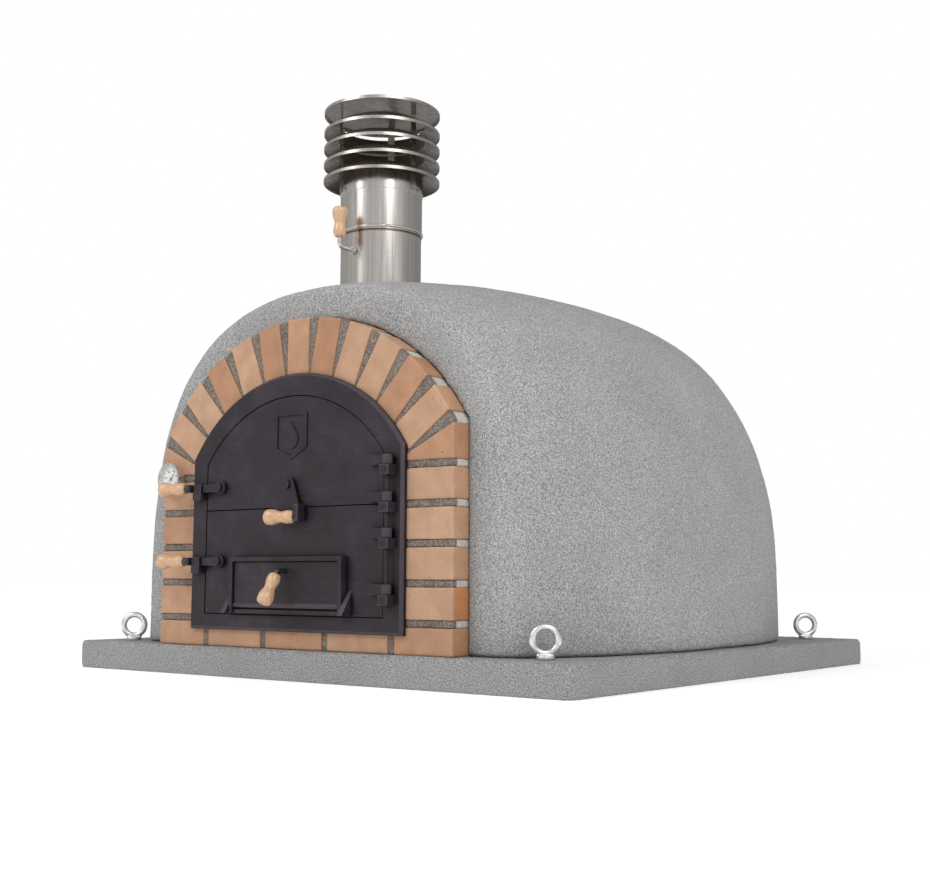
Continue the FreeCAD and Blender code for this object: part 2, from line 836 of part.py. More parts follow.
def bolt_hole(x, z):
    return rod(bolt_radius + bore_clearance, Vec(x, bar_front, z), Vec(x, bar_back, z))


def latch_lever(x, z):
    seat = latch_seat(x, z)
    half = latch_bar_height / 2
    bar = box(seat.x, x, bar_front, bar_back, z - half, z + half)
    boss = rod(latch_boss_radius, Vec(x, bar_front, z), Vec(x, bar_back, z))
    block = box(seat.x, seat.x + latch_block_width, seat.y - ferrule_radius, bar_back, z - half, z + half)
    reach = handle_seat_gap + ferrule_length + handle_socket - bore_clearance
    lever = bar.fuse([boss, block, tang(seat, side_direction(), reach)])
    return lever.cut(bolt_hole(x, z)).removeSplitter()


def latch_ferrule(x, z):
    direction = side_direction()
    return ferrule(latch_seat(x, z).add(direction * handle_seat_gap), direction)


def latch_handle(x, z):
    direction = side_direction()
    base = latch_seat(x, z).add(direction * (handle_seat_gap + ferrule_length + bore_clearance))
    return turned_handle(base, direction)


# ---- tie plate ----

def tie_plate():
    z = door_seam + tie_rise
    low = z - tie_drop
    lean = math.atan2(tie_bottom_half - tie_top_radius, tie_drop)
    side = tie_top_radius * math.cos(lean)
    lift = tie_top_radius * math.sin(lean)
    points = [(-side, z + lift), (-tie_bottom_half, low + tie_corner), (-tie_bottom_half + tie_corner, low),
              (tie_bottom_half, low), (tie_bottom_half, low + tie_corner), (side, z + lift)]
    plate = prism(points, bar_front, bar_back)
    top = rod(tie_top_radius, Vec(0, bar_front, z), Vec(0, bar_back, z))
    front = bar_front - tie_arm_front
    arm = box(tie_arm_x, tie_arm_x + tie_arm_width, front, bar_back, z - tie_arm_drop, low + 2 * tie_corner)
    edges = [edge for edge in arm.Edges if edge.BoundBox.YMax < bar_front]
    arm = arm.makeFillet(tie_arm_round, edges)
    stub = tang(tie_seat(), side_direction(), handle_seat_gap + handle_socket - bore_clearance)
    return plate.fuse([top, arm, stub]).cut(bolt_hole(0, z)).removeSplitter()


def tie_handle():
    direction = side_direction()
    return turned_handle(tie_seat().add(direction * handle_seat_gap), direction)


# ---- draught flap ----

def flap_rim():
    low = door_bottom + rim_bottom_rise
    inner = flap_half_width + flap_gap
    outer = inner + rim_wall
    top = flap_rod_z + flap_height + flap_gap
    front = leaf_face - rim_depth
    pieces = [box(-outer, outer, front, leaf_face, top, top + rim_wall)]
    pieces.append(box(-outer, outer, leaf_face - rail_depth, leaf_face, low, low + rail_height))
    foot = [(leaf_face, low), (leaf_face - foot_depth, low), (leaf_face, low + foot_height)]
    for side in (-1, 1):
        x0, x1 = sorted((side * inner, side * outer))
        pieces.append(box(x0, x1, front, leaf_face, low, top + rim_wall))
        x0, x1 = sorted((side * outer, side * (outer + foot_width)))
        pieces.append(side_prism(foot, x0, x1))
    rim = pieces[0].fuse(pieces[1:])
    return rim.cut(flap_axle(bore_clearance, foot_width)).removeSplitter()


def flap_axle(extra, reach):
    half = flap_half_width + flap_gap + rim_wall + reach
    radius = flap_rod_radius + extra
    return rod(radius, Vec(-half, flap_rod_y, flap_rod_z), Vec(half, flap_rod_y, flap_rod_z))


def draught_flap():
    panel = box(-flap_half_width, flap_half_width, flap_face, flap_face + flap_thickness, flap_rod_z,
                flap_rod_z + flap_height)
    start = Vec(-flap_half_width, flap_rod_y, flap_rod_z)
    knuckle = rod(flap_knuckle_radius, start, Vec(flap_half_width, flap_rod_y, flap_rod_z))
    flap = panel.fuse(knuckle).cut(flap_axle(bore_clearance, 0))
    front = Vec(0, flap_face, flap_rod_z + flap_handle_rise)
    hole = rod(flap_stub_radius + bore_clearance, front, front.add(Vec(0, flap_thickness, 0)))
    return flap.cut(hole).removeSplitter()


def flap_handle_path():
    tilt = math.radians(flap_handle_tilt)
    direction = Vec(0, -math.sin(tilt), -math.cos(tilt))
    start = Vec(0, flap_face + flap_thickness, flap_rod_z + flap_handle_rise)
    corner = Vec(0, flap_face - flap_handle_stand, start.z)
    return start, corner, direction


def flap_stub():
    start, corner, direction = flap_handle_path()
    end = corner.add(direction * (flap_handle_neck + handle_socket - socket_end_gap))
    return bent_rod(flap_stub_radius, start, corner, end, flap_stub_bend)


def flap_handle():
    corner, direction = flap_handle_path()[1:]
    return turned_handle(corner.add(direction * flap_handle_neck), direction, flap_stub_radius)


# ---- thermometer ----

def gauge_axis(y):
    return Vec(gauge_x, y, gauge_z)


def gauge_disc(radius, front, back):
    return rod(radius, gauge_axis(front), gauge_axis(back))


def dial_face():
    return brick_face - gauge_depth + dial_depth


def thermometer_case():
    front = brick_face - gauge_depth
    case = gauge_disc(gauge_radius, front, brick_face)
    case = case.cut(gauge_disc(gauge_radius - gauge_wall, front, brick_face - gauge_wall))
    return case.cut(gauge_disc(spindle_radius + bore_clearance, front, brick_face))


def thermometer_bezel():
    back = brick_face - gauge_depth
    front = back - bezel_depth
    ring = gauge_disc(bezel_radius, front, back)
    ring = ring.makeFillet(bezel_lip_depth - glass_gap, [ring.Edges[0]])
    ring = ring.cut(gauge_disc(gauge_radius - gauge_wall, front + bezel_lip_depth, back))
    return ring.cut(gauge_disc(bezel_radius - bezel_lip, front, back))


def thermometer_glass():
    front = brick_face - gauge_depth - bezel_depth + bezel_lip_depth + glass_gap
    return gauge_disc(gauge_radius - gauge_wall - glass_gap, front, front + glass_thickness)


def thermometer_dial():
    dial = gauge_disc(gauge_radius - gauge_wall - glass_gap, dial_face(), dial_face() + dial_thickness)
    return dial.cut(gauge_disc(spindle_radius + bore_clearance, dial_face(), dial_face() + dial_thickness))


def thermometer_needle():
    front = dial_face() - needle_stand - needle_thickness
    back = front + needle_thickness
    half = needle_width / 2
    points = [(gauge_x, gauge_z + needle_length), (gauge_x - half, gauge_z), (gauge_x - half, gauge_z - needle_tail),
              (gauge_x + half, gauge_z - needle_tail), (gauge_x + half, gauge_z)]
    needle = prism(points, front, back).fuse(gauge_disc(hub_radius, front, back))
    needle = needle.cut(gauge_disc(spindle_radius + bore_clearance, front, back))
    needle.rotate(gauge_axis(front), BACK, needle_rest_angle)
    return needle.removeSplitter()


def thermometer_stem():
    stem = gauge_disc(stem_radius, brick_face, brick_face + stem_length)
    spindle = gauge_disc(spindle_radius, dial_face() - spindle_reach, brick_face)
    return stem.fuse(spindle).removeSplitter()


# ---- flue ----

def flue_tube(outer, wall, z0, z1):
    return tube(outer, outer - wall, 0, flue_y, z0, z1)


def damper_shaft(extra, front, back):
    return rod(rod_radius + extra, Vec(0, flue_y - front, damper_z), Vec(0, flue_y + back, damper_z))


def flue_lower_pipe():
    low = flue_seat_z() + flue_seat_gap
    pipe = flue_tube(flue_radius, flue_wall, low, damper_z + pipe_joint_rise + pipe_overlap)
    return pipe.cut(damper_shaft(bore_clearance, flue_radius, flue_radius))


def flue_upper_pipe():
    low = damper_z + pipe_joint_rise
    pipe = flue_tube(upper_pipe_radius, flue_wall, low, pipe_top)
    bead = Part.makeTorus(upper_pipe_radius, bead_radius, Vec(0, flue_y, low + 2 * bead_radius))
    bead = bead.cut(Part.makeCylinder(upper_pipe_radius, 4 * bead_radius, Vec(0, flue_y, low)))
    return pipe.fuse(bead).removeSplitter()


def cowl_profile(z, inner, rise):
    low = z - cowl_rim_height / 2
    top = z + cowl_rim_height / 2
    wall = cowl_radius - cowl_sheet
    return [(cowl_radius, low), (cowl_radius, top), (inner, top + rise), (inner, top + rise - cowl_sheet),
            (wall, top - cowl_sheet), (wall, low)]


def cowl_ring(z):
    return revolve_profile(cowl_profile(z, cowl_inner_radius, cowl_cone_rise), 0, flue_y)


def cowl_ring_heights():
    return [cowl_low + step * cowl_pitch for step in range(cowl_rings)]


def cowl_slats():
    return group(cowl_ring(z) for z in cowl_ring_heights())


def cowl_cap():
    return revolve_profile(cowl_profile(cowl_cap_z, 0, cowl_cap_rise), 0, flue_y)


def cowl_collar():
    return flue_tube(collar_radius, cowl_sheet, pipe_top - collar_height, pipe_top)


# Turn a piece made in front of the flue round its axis.
def round_flue(shape, turn):
    shape.rotate(Vec(0, flue_y, 0), UP, turn)
    return shape


def cap_underside(radius):
    edge = cowl_cap_z + cowl_rim_height / 2 - cowl_sheet
    return edge + cowl_cap_rise * (cowl_radius - cowl_sheet - radius) / (cowl_radius - cowl_sheet)


def cowl_straps():
    low = pipe_top - strap_lap
    straps = []
    for turn in strap_turns:
        strap = box(-strap_width / 2, strap_width / 2, flue_y - strap_outer, flue_y - strap_inner, low,
                    cap_underside(strap_outer))
        straps.append(round_flue(strap, turn))
    return group(straps)


# Small gussets that hold each ring to each strap.
def cowl_clips():
    reach = math.hypot(strap_outer, strap_width / 2) + clip_reach
    clips = []
    for z in cowl_ring_heights():
        under = z + cowl_rim_height / 2 - cowl_sheet
        slope = cowl_cone_rise / (cowl_radius - cowl_sheet - cowl_inner_radius)
        near = under + slope * (cowl_radius - cowl_sheet - cowl_inner_radius)
        far = under + slope * (cowl_radius - cowl_sheet - reach)
        foot = flue_y - strap_outer
        inner = flue_y - cowl_inner_radius
        points = [(foot, near - clip_reach), (flue_y - reach, far), (inner, near), (foot, near)]
        for turn in strap_turns:
            clips.append(round_flue(side_prism(points, -cowl_sheet / 2, cowl_sheet / 2), turn))
    return group(clips)


def rivet(radius, z, turn):
    head = rod(rivet_radius, Vec(0, flue_y - radius, z), Vec(0, flue_y - radius - rivet_height, z))
    head = head.makeFillet(rivet_round, [head.Edges[2]])
    return round_flue(head, turn)


def cowl_rivets():
    z = pipe_top - collar_height + rivet_rise
    heads = [rivet(collar_radius, z, turn + rivet_turn) for turn in strap_turns]
    heads += [rivet(strap_outer, z + rivet_rise, turn) for turn in strap_turns]
    return group(heads)


# ---- damper ----

def damper_plate():
    radius = flue_radius - flue_wall - damper_edge_gap
    return rod(radius, Vec(rod_radius, flue_y, damper_z), Vec(rod_radius + damper_sheet, flue_y, damper_z))


def damper_screws():
    x = rod_radius + damper_sheet
    heads = []
    for side in (-0.5, 0.5):
        y = flue_y + side * damper_screw_spread
        heads.append(rod(damper_screw_radius, Vec(x, y, damper_z), Vec(x + damper_screw_height, y, damper_z)))
    return group(heads)


def damper_rod():
    back = Vec(0, flue_y + flue_radius + damper_tail, damper_z)
    corner = Vec(0, flue_y - damper_reach, damper_z)
    top = Vec(0, flue_y - damper_reach, damper_z + damper_handle_rise + handle_socket - socket_end_gap)
    return bent_rod(rod_radius, back, corner, top, damper_bend)


def damper_collars():
    gap = flue_radius + damper_collar_gap
    end = gap + damper_collar_width
    hole = damper_shaft(bore_clearance, 2 * end, 2 * end)
    collars = []
    for side in (-1, 1):
        start = Vec(0, flue_y + side * gap, damper_z)
        collars.append(rod(damper_collar_radius, start, Vec(0, flue_y + side * end, damper_z)).cut(hole))
    return group(collars)


def damper_handle():
    return turned_handle(Vec(0, flue_y - damper_reach, damper_z + damper_handle_rise), UP)


# ---- all the pieces ----

def build():
    upper, lower = latch_pivots()
    brick_groups = {"arch_bricks": arch_bricks(), "jamb_bricks": jamb_bricks(), "sill_bricks": sill_bricks()}
    bricks = [solid for shape in brick_groups.values() for solid in shape.Solids]
    pieces = {
        "base_slab": base_slab(),
        "lifting_eyes": lifting_eyes(),
        "hearth_insulation": hearth_insulation(),
        "hearth_tiles": hearth_tiles(),
        "vault": vault(),
        "throat_arch": throat_arch(),
        "insulation_blanket": insulation_blanket(),
        "dome_shell": dome_shell(),
        "mortar": mortar(bricks),
        "door_frame": door_frame(),
        "hinge_pin": hinge_pin(),
        "latch_catches": latch_catches(),
        "upper_door": upper_door(),
        "lower_door": lower_door(),
        "upper_latch_bolt": pivot_bolt(*upper),
        "lower_latch_bolt": pivot_bolt(*lower),
        "upper_latch_lever": latch_lever(*upper),
        "upper_latch_ferrule": latch_ferrule(*upper),
        "upper_latch_handle": latch_handle(*upper),
        "lower_latch_lever": latch_lever(*lower),
        "lower_latch_ferrule": latch_ferrule(*lower),
        "lower_latch_handle": latch_handle(*lower),
        "tie_plate_bolt": pivot_bolt(0, door_seam + tie_rise),
        "tie_plate": tie_plate(),
        "tie_plate_handle": tie_handle(),
        "flap_rim": flap_rim(),
        "flap_axle": flap_axle(0, foot_width - flap_gap),
        "draught_flap": draught_flap(),
        "flap_handle_stub": flap_stub(),
        "flap_handle": flap_handle(),
        "thermometer_case": thermometer_case(),
        "thermometer_bezel": thermometer_bezel(),
        "thermometer_glass": thermometer_glass(),
        "thermometer_dial": thermometer_dial(),
        "thermometer_needle": thermometer_needle(),
        "thermometer_stem": thermometer_stem(),
        "flue_lower_pipe": flue_lower_pipe(),
        "flue_upper_pipe": flue_upper_pipe(),
        "cowl_collar": cowl_collar(),
        "cowl_rings": cowl_slats(),
        "cowl_cap": cowl_cap(),
        "cowl_straps": cowl_straps(),
        "cowl_clips": cowl_clips(),
        "cowl_rivets": cowl_rivets(),
        "damper_plate": damper_plate(),
        "damper_screws": damper_screws(),
        "damper_rod": damper_rod(),
        "damper_collars": damper_collars(),
        "damper_handle": damper_handle(),
    }
    pieces.update(brick_groups)
    return pieces


os.makedirs("parts", exist_ok=True)
for node, piece in build().items():
    save(node, piece)
    print(node, len(piece.Solids), round(piece.Volume / 1000, 1), "cm3", "valid" if piece.isValid() else "INVALID")
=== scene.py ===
import json
import math

import bmesh
import bpy
from mathutils import Matrix, Vector


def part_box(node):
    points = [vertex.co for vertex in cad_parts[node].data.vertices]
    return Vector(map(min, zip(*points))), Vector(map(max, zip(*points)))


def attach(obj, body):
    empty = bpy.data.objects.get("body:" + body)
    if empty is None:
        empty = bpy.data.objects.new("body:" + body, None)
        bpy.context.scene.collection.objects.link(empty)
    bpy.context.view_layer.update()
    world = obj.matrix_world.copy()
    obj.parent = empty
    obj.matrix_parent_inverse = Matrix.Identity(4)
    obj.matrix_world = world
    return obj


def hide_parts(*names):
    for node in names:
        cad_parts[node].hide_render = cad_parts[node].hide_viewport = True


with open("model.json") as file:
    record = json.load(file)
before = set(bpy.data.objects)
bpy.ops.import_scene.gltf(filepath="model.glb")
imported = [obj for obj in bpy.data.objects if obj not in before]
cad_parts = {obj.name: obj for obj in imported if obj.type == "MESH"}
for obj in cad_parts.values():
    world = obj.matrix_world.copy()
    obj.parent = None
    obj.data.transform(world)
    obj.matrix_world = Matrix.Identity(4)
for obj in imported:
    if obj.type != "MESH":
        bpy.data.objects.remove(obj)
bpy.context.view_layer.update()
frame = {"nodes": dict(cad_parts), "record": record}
cadNodes = frame["nodes"]
bodyOf = {node: body for body, names in frame["record"]["behaviour"]["bodies"].items() for node in names}
slotOf = {part["node"]: part["material_slot"] for part in frame["record"]["subparts"]}
print("frame loaded:", len(cadNodes), "nodes")


# small shader helpers

def startMaterial(name, roughness, metallic=0.0, **extra):
    material = bpy.data.materials.new(name)
    material.use_nodes = True
    shader = material.node_tree.nodes["Principled BSDF"]
    shader.inputs["Roughness"].default_value = roughness
    shader.inputs["Metallic"].default_value = metallic
    for socket, value in extra.items():
        shader.inputs[socket.replace("_", " ")].default_value = value
    return material, material.node_tree, shader


def addNode(tree, kind, inputs=None, **settings):
    node = tree.nodes.new("ShaderNode" + kind)
    for key, value in settings.items():
        setattr(node, key, value)
    for key, value in (inputs or {}).items():
        if isinstance(value, bpy.types.NodeSocket):
            tree.links.new(value, node.inputs[key])
        else:
            node.inputs[key].default_value = value
    return node


def objectPlace(tree, stretch=(1, 1, 1)):
    place = addNode(tree, "TexCoord").outputs["Object"]
    if stretch == (1, 1, 1):
        return place
    return addNode(tree, "Mapping", {"Vector": place, "Scale": stretch}).outputs[0]


def noiseOf(tree, place, scale, detail=3.0, roughness=0.6):
    return addNode(tree, "TexNoise", {"Vector": place, "Scale": scale, "Detail": detail,
                                      "Roughness": roughness}).outputs["Fac"]


def rampOf(tree, factor, stops):
    node = addNode(tree, "ValToRGB", {"Fac": factor})
    ramp = node.color_ramp
    while len(ramp.elements) < len(stops):
        ramp.elements.new(0.5)
    for element, (spot, colour) in zip(ramp.elements, stops):
        element.position = spot
        element.color = (*colour, 1.0) if len(colour) == 3 else colour
    return node.outputs["Color"]


def greyRamp(tree, factor, low, high, start=0.3, end=0.7):
    return rampOf(tree, factor, [(start, (low,) * 3), (end, (high,) * 3)])


def mixOf(tree, first, second, factor, blend="MIX"):
    node = addNode(tree, "Mix", data_type="RGBA", blend_type=blend)
    for index, value in ((0, factor), (6, first), (7, second)):
        if isinstance(value, bpy.types.NodeSocket):
            tree.links.new(value, node.inputs[index])
        elif index == 0:
            node.inputs[index].default_value = value
        else:
            node.inputs[index].default_value = (*value, 1.0)
    return node.outputs[2]


def bumpOf(tree, height, distance, strength=1.0, under=None):
    inputs = {"Height": height, "Distance": distance, "Strength": strength}
    if under is not None:
        inputs["Normal"] = under
    return addNode(tree, "Bump", inputs).outputs["Normal"]


def setInputs(tree, shader, **sockets):
    for name, socket in sockets.items():
        tree.links.new(socket, shader.inputs[name.replace("_", " ")])


# finishes

renderLook = {"dark": 0.135, "middle": 0.31, "light": 0.50, "grain": 380.0, "speckFiner": 2.6,
              "mottle": 5.0, "relief": 0.0011}


def renderCoat(name, shade=1.0):
    look = renderLook
    material, tree, shader = startMaterial(name, 0.93, Specular_IOR_Level=0.25)
    place = objectPlace(tree)
    grain = noiseOf(tree, place, look["grain"], 2.0, 0.65)
    speck = noiseOf(tree, place, look["grain"] * look["speckFiner"], 1.0)
    tones = [(0.30, (look["dark"] * shade,) * 3), (0.5, (look["middle"] * shade,) * 3),
             (0.70, (look["light"] * shade,) * 3)]
    base = rampOf(tree, grain, tones)
    base = mixOf(tree, base, greyRamp(tree, speck, 0.72, 1.22, 0.35, 0.65), 0.8, "MULTIPLY")
    cloud = greyRamp(tree, noiseOf(tree, place, look["mottle"], 3.0), 0.92, 1.06)
    base = mixOf(tree, base, cloud, 1.0, "MULTIPLY")
    relief = bumpOf(tree, speck, look["relief"] * 0.5, 0.7)
    relief = bumpOf(tree, grain, look["relief"], 0.9, relief)
    setInputs(tree, shader, Base_Color=base, Normal=relief)
    return material


brickLook = {"pale": (0.465, 0.295, 0.195), "tan": (0.415, 0.245, 0.152), "warm": (0.35, 0.172, 0.097),
             "orange": (0.50, 0.195, 0.07), "speck": (0.14, 0.075, 0.045), "wearAndHighlight": (0.60, 0.46, 0.35),
             "speckScale": 62.0, "speckPatches": 20.0}


def brickClay(name):
    look = brickLook
    material, tree, shader = startMaterial(name, 0.86, Specular_IOR_Level=0.3)
    place = objectPlace(tree)
    tone = addNode(tree, "Attribute", attribute_name="tone").outputs["Fac"]
    side = addNode(tree, "Attribute", attribute_name="flank").outputs["Fac"]
    base = rampOf(tree, tone, [(0.0, look["pale"]), (0.5, look["tan"]), (1.0, look["warm"])])
    base = mixOf(tree, base, look["orange"], side)
    cloud = greyRamp(tree, noiseOf(tree, place, 26.0, 4.0), 0.86, 1.12)
    base = mixOf(tree, base, cloud, 1.0, "MULTIPLY")
    sand = greyRamp(tree, noiseOf(tree, place, 420.0, 2.0), 0.86, 1.1)
    base = mixOf(tree, base, sand, 0.8, "MULTIPLY")
    cells = addNode(tree, "TexVoronoi", {"Vector": place, "Scale": look["speckScale"], "Randomness": 1.0})
    spotMask = greyRamp(tree, cells.outputs["Distance"], 1.0, 0.0, 0.05, 0.11)
    patches = greyRamp(tree, noiseOf(tree, place, look["speckPatches"]), 0.0, 1.0, 0.5, 0.62)
    spotMask = mixOf(tree, spotMask, patches, 1.0, "MULTIPLY")
    base = mixOf(tree, base, look["speck"], spotMask)
    wearAndHighlightShare = addNode(tree, "NewGeometry").outputs["Pointiness"]
    base = mixOf(tree, base, look["wearAndHighlight"], greyRamp(tree, wearAndHighlightShare, 0.0, 0.5, 0.53, 0.62))
    relief = bumpOf(tree, noiseOf(tree, place, 380.0, 3.0), 0.0005, 0.6)
    relief = bumpOf(tree, spotMask, -0.0008, 0.8, relief)
    setInputs(tree, shader, Base_Color=base, Normal=relief)
    return material


mortarLook = {"dark": (0.080, 0.066, 0.056), "middle": (0.168, 0.140, 0.118), "light": (0.31, 0.268, 0.23),
              "limed": (0.60, 0.57, 0.53)}


def mortarBed(name):
    look = mortarLook
    material, tree, shader = startMaterial(name, 0.95, Specular_IOR_Level=0.2)
    place = objectPlace(tree)
    grain = noiseOf(tree, place, 330.0, 3.0, 0.7)
    base = rampOf(tree, grain, [(0.32, look["dark"]), (0.5, look["middle"]), (0.68, look["light"])])
    cloud = greyRamp(tree, noiseOf(tree, place, 18.0), 0.85, 1.15)
    base = mixOf(tree, base, cloud, 1.0, "MULTIPLY")
    side = addNode(tree, "Attribute", attribute_name="flank").outputs["Fac"]
    limed = mixOf(tree, look["limed"], greyRamp(tree, grain, 0.6, 1.1), 1.0, "MULTIPLY")
    base = mixOf(tree, base, limed, side)
    setInputs(tree, shader, Base_Color=base, Normal=bumpOf(tree, grain, 0.0014, 1.0))
    return material


# the pale edge colour is a painted highlight on eased faces, and the near black colour is painted shade for
# creases and the gap round the leaves
ironLook = {"deep": (0.015, 0.011, 0.015), "middle": (0.022, 0.0162, 0.022), "dusty": (0.038, 0.029, 0.037),
            "wearAndHighlight": (0.12, 0.10, 0.12), "wearAndHighlightShare": 0.28, "paintedShade": (0.004, 0.0035, 0.004), "paintedShadeReach": 0.012}


def castIron(name):
    look = ironLook
    material, tree, shader = startMaterial(name, 0.5, Specular_IOR_Level=0.27)
    place = objectPlace(tree)
    cloud = noiseOf(tree, place, 14.0, 5.0, 0.62)
    base = rampOf(tree, cloud, [(0.3, look["deep"]), (0.52, look["middle"]), (0.75, look["dusty"])])
    sand = noiseOf(tree, place, 650.0, 2.0)
    base = mixOf(tree, base, greyRamp(tree, sand, 0.85, 1.15), 0.7, "MULTIPLY")
    # painted highlight: the eased faces, bevels and curves, are mixed towards a paler colour
    eased = addNode(tree, "Attribute", attribute_name="eased").outputs["Fac"]
    base = mixOf(tree, base, look["wearAndHighlight"], greyRamp(tree, eased, 0.0, look["wearAndHighlightShare"], 0.1, 0.9))
    scratch = noiseOf(tree, objectPlace(tree, (0.12, 1, 1)), 260.0, 3.0)
    base = mixOf(tree, base, greyRamp(tree, scratch, 0.78, 1.25), 0.7, "MULTIPLY")
    # painted shade: ambient occlusion darkens creases and crevices in the iron towards near black
    occlusionShade = addNode(tree, "AmbientOcclusion", {"Distance": look["paintedShadeReach"]}, samples=8).outputs["AO"]
    base = mixOf(tree, base, look["paintedShade"], greyRamp(tree, occlusionShade, 1.0, 0.0, 0.45, 0.85))
    # painted shade: the faces in the gap round the leaves are painted near black
    seamShade = addNode(tree, "Attribute", attribute_name="seamShade").outputs["Fac"]
    base = mixOf(tree, base, look["paintedShade"], seamShade)
    gloss = greyRamp(tree, noiseOf(tree, place, 24.0, 4.0), 0.42, 0.58)
    relief = bumpOf(tree, sand, 0.00022, 0.7)
    relief = bumpOf(tree, noiseOf(tree, place, 60.0, 3.0), 0.0007, 0.35, relief)
    setInputs(tree, shader, Base_Color=base, Roughness=gloss, Normal=relief)
    return material


steelLook = {"base": (0.60, 0.575, 0.55), "tint": (0.52, 0.48, 0.435), "heat": (0.16, 0.055, 0.035),
             "streak": 150.0, "heatHeight": 0.0055}


def stainlessSheet(name, seamZ):
    look = steelLook
    material, tree, shader = startMaterial(name, 0.26, 1.0)
    place = objectPlace(tree, (1, 1, 0.02))
    streak = noiseOf(tree, place, look["streak"], 4.0, 0.7)
    base = rampOf(tree, streak, [(0.3, look["tint"]), (0.65, look["base"])])
    height = addNode(tree, "SeparateXYZ", {"Vector": objectPlace(tree)}).outputs["Z"]
    # a brown line of old heat just under the joint
    near = addNode(tree, "MapRange", {"Value": height, "From Min": seamZ - look["heatHeight"],
                                      "From Max": seamZ}).outputs[0]
    heat = rampOf(tree, near, [(0.0, (0, 0, 0)), (0.55, (0.85,) * 3), (0.99, (0.9,) * 3), (1.0, (0, 0, 0))])
    base = mixOf(tree, base, look["heat"], heat)
    gloss = greyRamp(tree, streak, 0.15, 0.27)
    relief = bumpOf(tree, noiseOf(tree, objectPlace(tree), 9.0, 2.0), 0.0015, 0.12)
    relief = bumpOf(tree, streak, 0.00006, 0.5, relief)
    setInputs(tree, shader, Base_Color=base, Roughness=gloss, Normal=relief)
    return material


# under is painted shade for the faces turned downwards
cowlLook = {"low": (0.40, 0.36, 0.31), "high": (0.58, 0.54, 0.48), "under": (0.095, 0.078, 0.072)}


def cowlSheet(name):
    look = cowlLook
    material, tree, shader = startMaterial(name, 0.3, 1.0)
    place = objectPlace(tree)
    cloud = noiseOf(tree, place, 30.0, 3.0)
    base = rampOf(tree, cloud, [(0.3, look["low"]), (0.7, look["high"])])
    # painted shade: faces turned downwards are mixed towards the dark under colour
    facing = addNode(tree, "NewGeometry").outputs["Normal"]
    lean = addNode(tree, "SeparateXYZ", {"Vector": facing}).outputs["Z"]
    under = addNode(tree, "MapRange", {"Value": lean, "From Min": -0.15, "From Max": -0.55}).outputs[0]
    base = mixOf(tree, base, look["under"], under)
    gloss = greyRamp(tree, noiseOf(tree, place, 90.0), 0.24, 0.38)
    setInputs(tree, shader, Base_Color=base, Roughness=gloss, Normal=bumpOf(tree, cloud, 0.0008, 0.2))
    return material


def brightSteel(name, low, high, gloss, grain=300.0):
    material, tree, shader = startMaterial(name, gloss, 1.0)
    place = objectPlace(tree)
    speck = noiseOf(tree, place, grain, 3.0)
    base = rampOf(tree, speck, [(0.3, low), (0.7, high)])
    shine = greyRamp(tree, noiseOf(tree, place, grain / 3), gloss - 0.06, gloss + 0.1)
    setInputs(tree, shader, Base_Color=base, Roughness=shine, Normal=bumpOf(tree, speck, 0.0002, 0.5))
    return material


woodLook = {"pale": (0.56, 0.350, 0.200), "warm": (0.535, 0.327, 0.182), "line": (0.50, 0.295, 0.158)}


def turnedWood(name):
    look = woodLook
    material, tree, shader = startMaterial(name, 0.36, Specular_IOR_Level=0.5, Coat_Weight=0.35,
                                           Coat_Roughness=0.16)
    place = addNode(tree, "Attribute", attribute_name="grainPlace").outputs["Vector"]
    stretched = addNode(tree, "Mapping", {"Vector": place, "Scale": (1, 1, 0.07)}).outputs[0]
    rings = addNode(tree, "TexWave", {"Vector": stretched, "Scale": 38.0, "Distortion": 3.0, "Detail": 2.0,
                                      "Detail Scale": 1.2}, wave_type="BANDS").outputs["Fac"]
    base = rampOf(tree, rings, [(0.0, look["pale"]), (0.8, look["warm"]), (1.0, look["line"])])
    fibre = noiseOf(tree, stretched, 700.0, 3.0)
    base = mixOf(tree, base, greyRamp(tree, fibre, 0.90, 1.08), 0.8, "MULTIPLY")
    setInputs(tree, shader, Base_Color=base, Normal=bumpOf(tree, fibre, 0.0001, 0.4))
    return material


def stoneLike(name, low, high, scale, rough=0.9, soot=0.0):
    material, tree, shader = startMaterial(name, rough)
    place = objectPlace(tree)
    grain = noiseOf(tree, place, scale, 5.0, 0.65)
    base = rampOf(tree, grain, [(0.3, low), (0.7, high)])
    base = mixOf(tree, base, greyRamp(tree, noiseOf(tree, place, 4.0, 3.0), 0.75, 1.1), 1.0, "MULTIPLY")
    if soot:
        smoke = greyRamp(tree, noiseOf(tree, place, 7.0, 4.0), 0.0, soot, 0.35, 0.65)
        base = mixOf(tree, base, (0.03, 0.026, 0.023), smoke)
    setInputs(tree, shader, Base_Color=base, Normal=bumpOf(tree, grain, 0.0012, 0.7))
    return material


def clearGlass(name):
    material, tree, shader = startMaterial(name, 0.03, Alpha=0.14, Specular_IOR_Level=0.6)
    smear = noiseOf(tree, objectPlace(tree), 60.0)
    setInputs(tree, shader, Roughness=greyRamp(tree, smear, 0.02, 0.06))
    return material


def enamel(name, low, high, gloss):
    material, tree, shader = startMaterial(name, gloss, Specular_IOR_Level=0.5)
    cloud = noiseOf(tree, objectPlace(tree), 120.0)
    setInputs(tree, shader, Base_Color=rampOf(tree, cloud, [(0.3, low), (0.7, high)]),
              Roughness=greyRamp(tree, cloud, gloss - 0.05, gloss + 0.08))
    return material


